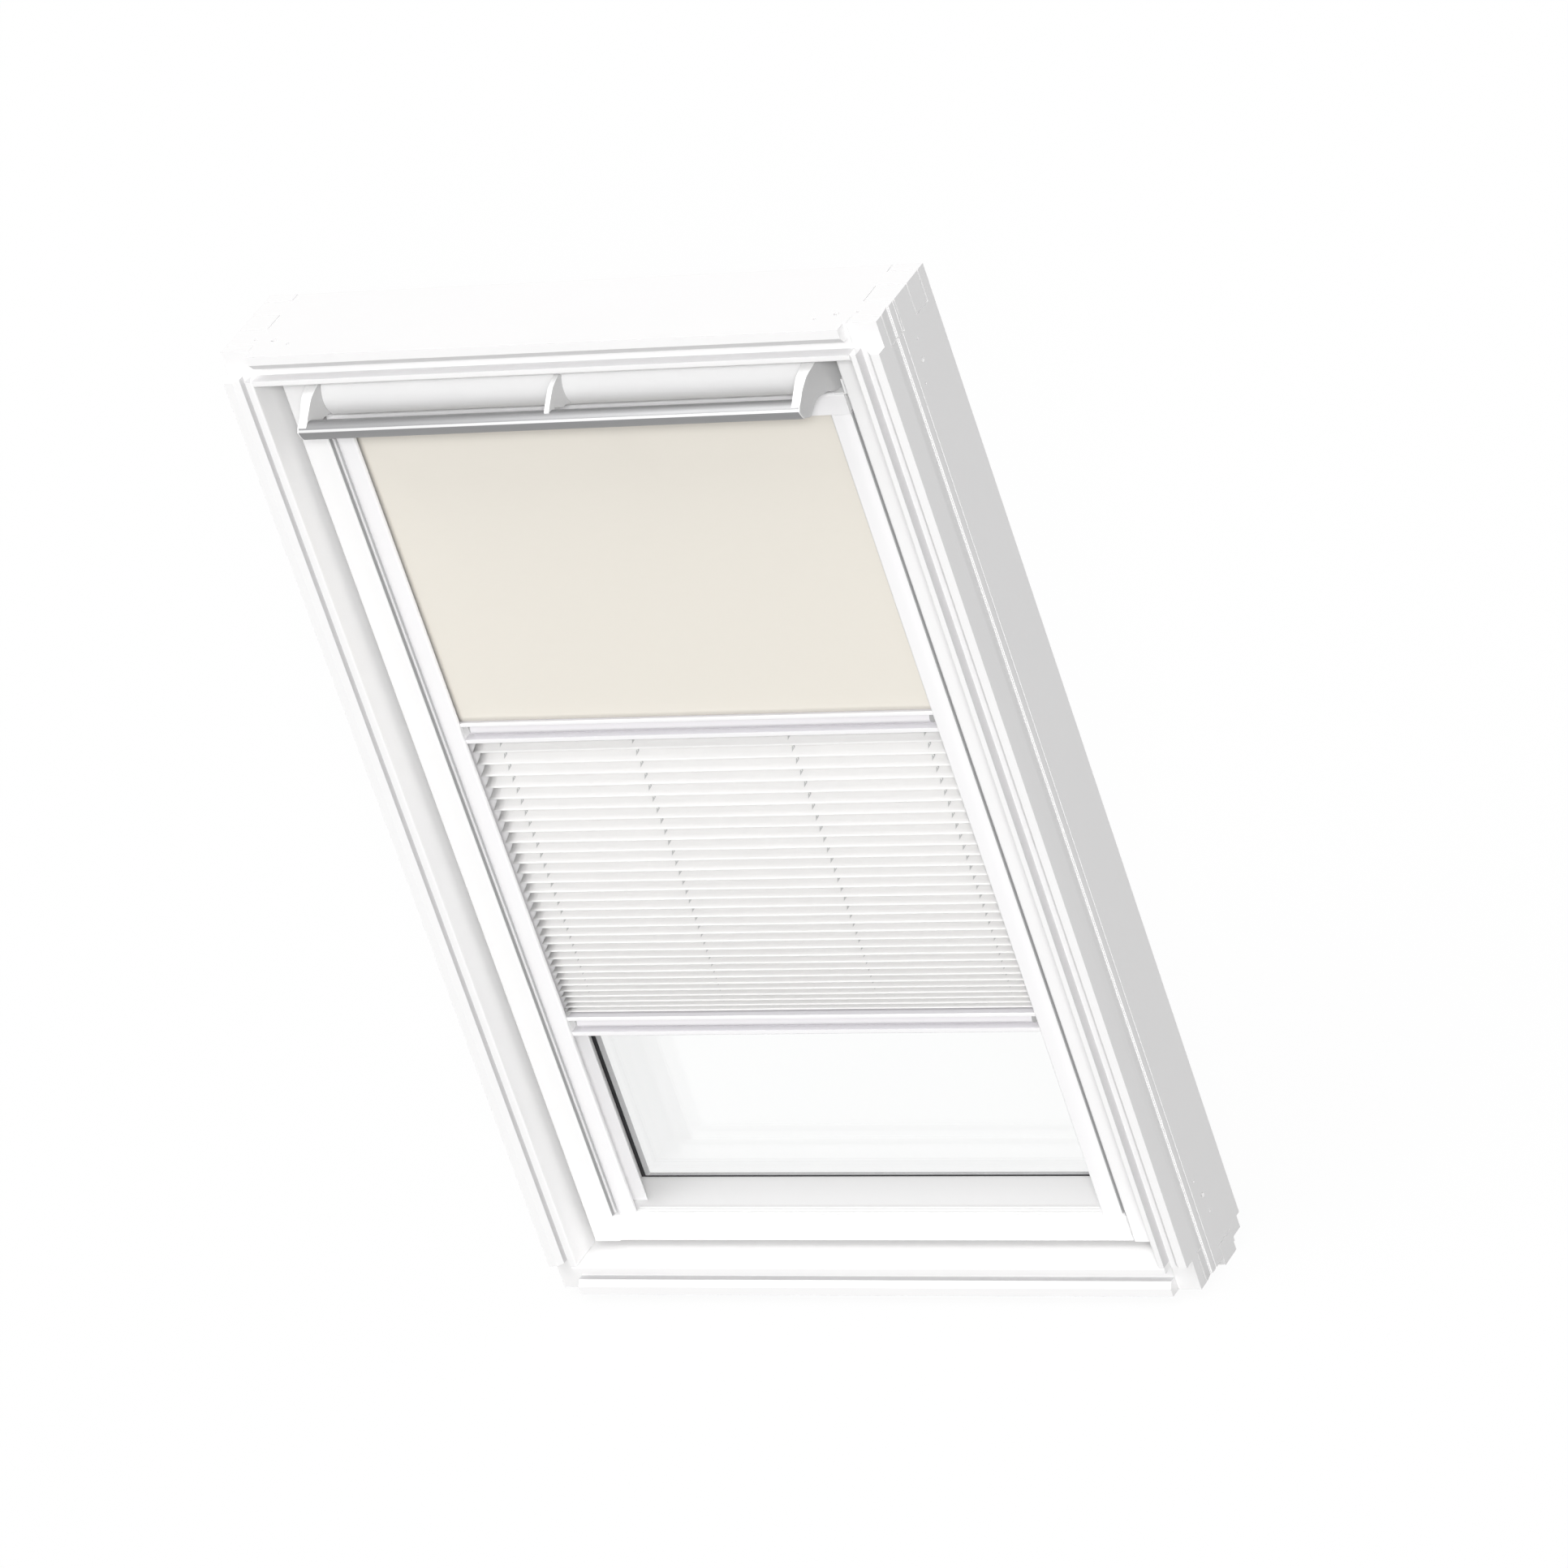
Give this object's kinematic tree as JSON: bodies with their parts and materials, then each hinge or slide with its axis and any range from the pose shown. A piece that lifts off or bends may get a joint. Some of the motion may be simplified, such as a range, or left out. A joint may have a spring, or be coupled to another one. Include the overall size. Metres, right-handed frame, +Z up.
{
  "type": "roof window with blind",
  "caption": "Centre-pivot roof window with a top control bar and a two-fabric blind, a blackout cloth above and a pleated cloth below, on sliding rails in the sash.",
  "frame": {"origin": "Middle of the frame's lower edge, in the plane of its room side. The window stands upright here. In a roof it is turned back about X to the roof's pitch.", "axes": "+X to the right seen from the room, +Y out through the roof, +Z up along the window"},
  "size_m": [0.78, 0.1642, 1.1878],
  "materials": {
    "frame_paint": "white satin paint on timber",
    "sash_paint": "white satin paint on timber",
    "white_aluminium": "white powder coat on aluminium",
    "white_steel": "white painted sheet steel",
    "white_plastic": "white moulded plastic",
    "bar_aluminium": "satin anodised aluminium",
    "spacer_aluminium": "mill aluminium",
    "steel": "zinc plated steel",
    "grey_cladding": "grey lacquered sheet",
    "rubber": "black rubber",
    "foam": "grey open foam",
    "glass": "clear float glass",
    "blackout_cloth": "beige coated blackout cloth",
    "pleated_cloth": "warm white pleated polyester"
  },
  "bodies": {
    "frame": {"frame_side_left": "frame_paint", "frame_side_right": "frame_paint", "frame_head": "frame_paint", "frame_sill": "frame_paint", "lower_seal": "rubber", "upper_seal": "rubber", "pivot_pin_plate_left": "steel", "pivot_pin_plate_right": "steel", "strike_plate": "steel"},
    "sash": {"sash_side_left": "sash_paint", "sash_side_right": "sash_paint", "sash_head": "sash_paint", "sash_sill": "sash_paint", "pivot_bearing_left": "steel", "pivot_bearing_right": "steel", "glazing_gasket": "rubber", "inner_pane": "glass", "outer_pane": "glass", "spacer_bar": "spacer_aluminium", "glass_cover_left": "grey_cladding", "glass_cover_right": "grey_cladding", "glass_cover_top": "grey_cladding", "glass_cover_bottom": "grey_cladding", "lock_case": "steel", "air_filter": "foam", "drum_lug_left": "steel", "drum_lug_middle": "steel", "drum_lug_right": "steel", "hinge_rod": "steel", "blind_casing": "white_aluminium", "casing_cap_left": "white_plastic", "casing_cap_right": "white_plastic", "mounting_clip_left": "white_steel", "mounting_clip_right": "white_steel", "side_rail_left": "white_aluminium", "side_rail_right": "white_aluminium", "sill_strip": "white_plastic", "blackout_fabric": "blackout_cloth"},
    "control": {"control_bar": "bar_aluminium", "bar_arm_left": "white_plastic", "bar_arm_right": "white_plastic", "bar_fin": "white_plastic", "vent_flap": "white_aluminium"},
    "latch": {"latch_bolt": "steel"},
    "roller": {"roller_tube": "bar_aluminium", "roller_pin_left": "white_plastic", "roller_pin_right": "white_plastic"},
    "upper_slide": {"middle_rail": "white_aluminium", "middle_rail_glide_left": "white_plastic", "middle_rail_glide_right": "white_plastic", "pleated_fabric": "pleated_cloth"},
    "lower_slide": {"bottom_rail": "white_aluminium", "bottom_rail_glide_left": "white_plastic", "bottom_rail_glide_right": "white_plastic"}
  },
  "joints": [
    {"name": "sash_pivot", "type": "hinge", "parent": "frame", "child": "sash", "pos_m": [0, 0.075, 0.589], "axis": [1, 0, 0], "range_deg": [0, 160]},
    {"name": "bar_tilt", "type": "hinge", "parent": "sash", "child": "control", "pos_m": [0, 0.042, 1.114], "axis": [1, 0, 0], "range_deg": [0, 30]},
    {"name": "latch_slide", "type": "slide", "parent": "sash", "child": "latch", "axis": [0, 0, -1], "range_m": [0, 0.007]},
    {"name": "roller_turn", "type": "hinge", "parent": "sash", "child": "roller", "pos_m": [0, 0.0562, 1.07075], "axis": [1, 0, 0], "range_deg": [-2215, 0]},
    {"name": "middle_rail_slide", "type": "slide", "parent": "sash", "child": "upper_slide", "axis": [0, 0, 1], "range_m": [0, 0.355], "deforming": ["blackout_fabric"]},
    {"name": "bottom_rail_slide", "type": "slide", "parent": "upper_slide", "child": "lower_slide", "axis": [0, 0, 1], "range_m": [-0.222, 0.225], "deforming": ["pleated_fabric"]}
  ],
  "couplings": [
    {"joint": "latch_slide", "follows": "bar_tilt", "m_per_rad": 0.0132},
    {"joint": "roller_turn", "follows": "middle_rail_slide", "rad_per_m": -108.7}
  ]
}
